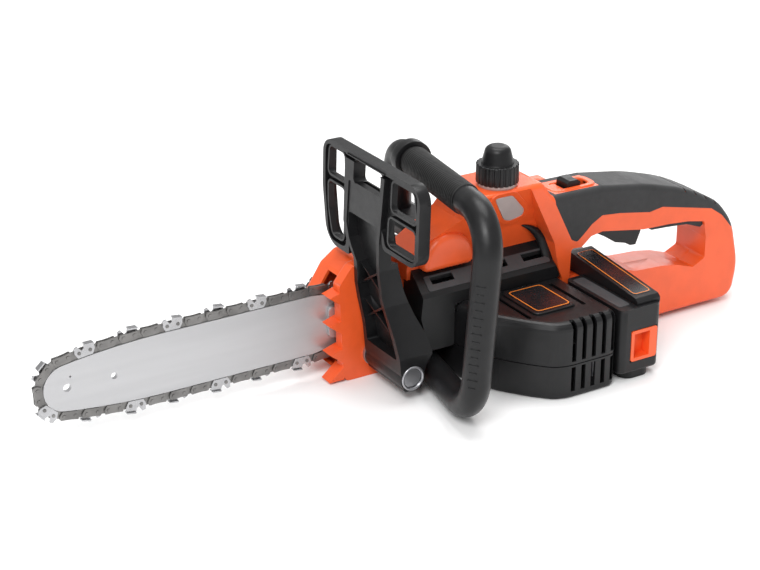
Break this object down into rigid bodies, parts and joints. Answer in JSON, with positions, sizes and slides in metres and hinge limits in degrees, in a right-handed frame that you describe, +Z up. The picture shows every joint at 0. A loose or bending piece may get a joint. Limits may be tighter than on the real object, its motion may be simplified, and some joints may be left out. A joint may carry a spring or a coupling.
{
  "type": "cordless chainsaw",
  "caption": "Compact battery chainsaw with a guide bar and chain, bail handle, hand guard, rear handle, oil tank and slide-in battery.",
  "frame": {"origin": "on the ground under the middle of the bounding box", "axes": "+X from the nose of the bar to the rear handle, -Y the operator's left (battery side), +Z up"},
  "size_m": [0.6595, 0.2138, 0.203],
  "materials": {
    "orange_plastic": "Satin injection-moulded orange plastic",
    "latch_orange": "Orange plastic of the battery latch",
    "black_plastic": "Fine-textured black glass-filled plastic",
    "black_rubber": "Black rubber",
    "grip_rubber": "Charcoal soft-touch overmould",
    "window_plastic": "Translucent milky tank plastic",
    "bar_steel": "Ground steel",
    "chain_steel": "Oil-blackened chain steel",
    "cutter_steel": "Chromed cutter links",
    "gear_steel": "Machined steel",
    "plate_aluminium": "Die-cast aluminium",
    "brass": "Brass",
    "cell_wrap": "Shrink-wrapped cells",
    "board_green": "Circuit board"
  },
  "bodies": {
    "chassis": {"badge_plate": "black_plastic", "bail_collar": "black_plastic", "bail_grip": "black_rubber", "bail_handle": "black_plastic", "bail_mount": "black_plastic", "bar_pad": "bar_steel", "bar_stud": "gear_steel", "chain_cutters_left": "cutter_steel", "chain_cutters_right": "cutter_steel", "chain_drive_links": "chain_steel", "chain_rivets": "chain_steel", "chain_tie_straps": "chain_steel", "control_board": "board_green", "gear_plate": "plate_aluminium", "grip_strip": "grip_rubber", "guard_pivot": "gear_steel", "idler_pin": "gear_steel", "left_housing": "orange_plastic", "lock_off_spring": "gear_steel", "motor_can": "gear_steel", "motor_cover_lower": "black_plastic", "motor_cover_upper": "black_plastic", "oil_hose": "black_rubber", "oil_pump": "black_plastic", "oil_tank": "window_plastic", "pivot_washer": "gear_steel", "rear_grip": "grip_rubber", "right_housing": "orange_plastic", "screws": "gear_steel", "spindle_bearings": "gear_steel", "terminal_block": "black_plastic", "trigger_pin": "gear_steel", "trigger_spring": "gear_steel", "trigger_switch": "black_plastic", "vent_hood": "black_plastic"},
    "spindle": {"spindle_shaft": "gear_steel", "spur_gear": "gear_steel", "drive_sprocket": "gear_steel"},
    "idler": {"idler_gear": "gear_steel"},
    "rotor": {"rotor_shaft": "gear_steel", "rotor_core": "gear_steel", "cooling_fan": "black_plastic"},
    "bar": {"guide_bar": "bar_steel", "tension_slider": "bar_steel"},
    "cover": {"sprocket_cover": "orange_plastic"},
    "knob": {"lock_knob": "black_plastic", "knob_nut": "brass"},
    "tension_dial": {"tension_ring": "black_plastic"},
    "guard": {"hand_guard": "black_plastic"},
    "trigger_lever": {"trigger": "black_plastic"},
    "lock_button": {"lock_off_button": "black_plastic"},
    "cap_lift": {"cap_retainer": "black_plastic"},
    "cap": {"oil_cap": "black_plastic", "cap_seal": "black_rubber"},
    "battery": {"battery_case": "black_plastic", "battery_top": "black_plastic", "battery_cells": "cell_wrap", "battery_contacts": "brass", "latch_spring": "gear_steel"},
    "latch": {"battery_latch": "latch_orange"}
  },
  "joints": [
    {"name": "spindle_spin", "type": "hinge", "parent": "chassis", "child": "spindle", "pos_m": [0.01, 0.056, 0.05], "axis": [0, 1, 0], "continuous": true},
    {"name": "idler_spin", "type": "hinge", "parent": "chassis", "child": "idler", "pos_m": [0.0653, 0.036, 0.04524], "axis": [0, 1, 0], "continuous": true},
    {"name": "rotor_spin", "type": "hinge", "parent": "chassis", "child": "rotor", "pos_m": [0.087, 0, 0.035], "axis": [0, 1, 0], "continuous": true},
    {"name": "bar_tension", "type": "slide", "parent": "chassis", "child": "bar", "axis": [1, 0, 0], "range_m": [0, 0.006]},
    {"name": "cover_removal", "type": "slide", "parent": "chassis", "child": "cover", "axis": [0, 1, 0], "range_m": [0, 0.06]},
    {"name": "knob_turn", "type": "hinge", "parent": "cover", "child": "knob", "pos_m": [-0.038, 0.09, 0.05], "axis": [0, 1, 0], "range_deg": [0, 720]},
    {"name": "tension_dial_turn", "type": "hinge", "parent": "cover", "child": "tension_dial", "pos_m": [-0.038, 0.088, 0.05], "axis": [0, 1, 0], "range_deg": [0, 150]},
    {"name": "guard_brake", "type": "hinge", "parent": "chassis", "child": "guard", "pos_m": [-0.032, 0, 0.021], "axis": [0, -1, 0], "range_deg": [0, 14]},
    {"name": "trigger_pull", "type": "hinge", "parent": "chassis", "child": "trigger_lever", "pos_m": [0.168, 0.014, 0.1015], "axis": [0, -1, 0], "range_deg": [0, 8], "stiffness_Nm_per_rad": 1.2, "springref_deg": -8.59, "deforming": ["trigger_spring"]},
    {"name": "lock_off_slide", "type": "slide", "parent": "chassis", "child": "lock_button", "axis": [1, 0, 0], "range_m": [0, 0.003], "stiffness_N_per_m": 300, "springref_m": -0.003, "deforming": ["lock_off_spring"]},
    {"name": "cap_rise", "type": "slide", "parent": "chassis", "child": "cap_lift", "axis": [0, 0, 1], "range_m": [0, 0.0045]},
    {"name": "cap_turn", "type": "hinge", "parent": "cap_lift", "child": "cap", "pos_m": [0.074, 0.014, 0.16], "axis": [0, 0, 1], "range_deg": [0, 540]},
    {"name": "battery_slide", "type": "slide", "parent": "chassis", "child": "battery", "axis": [0, -1, 0], "range_m": [0, 0.12]},
    {"name": "battery_latch_push", "type": "slide", "parent": "battery", "child": "latch", "axis": [0, 1, 0], "range_m": [0, 0.003], "stiffness_N_per_m": 600, "springref_m": -0.003, "deforming": ["latch_spring"]}
  ],
  "couplings": [
    {"joint": "idler_spin", "follows": "spindle_spin", "ratio": -3.1111},
    {"joint": "rotor_spin", "follows": "spindle_spin", "ratio": 9.3333},
    {"joint": "tension_dial_turn", "follows": "bar_tension", "rad_per_m": 436.33},
    {"joint": "cap_turn", "follows": "cap_rise", "rad_per_m": 2094.4}
  ]
}
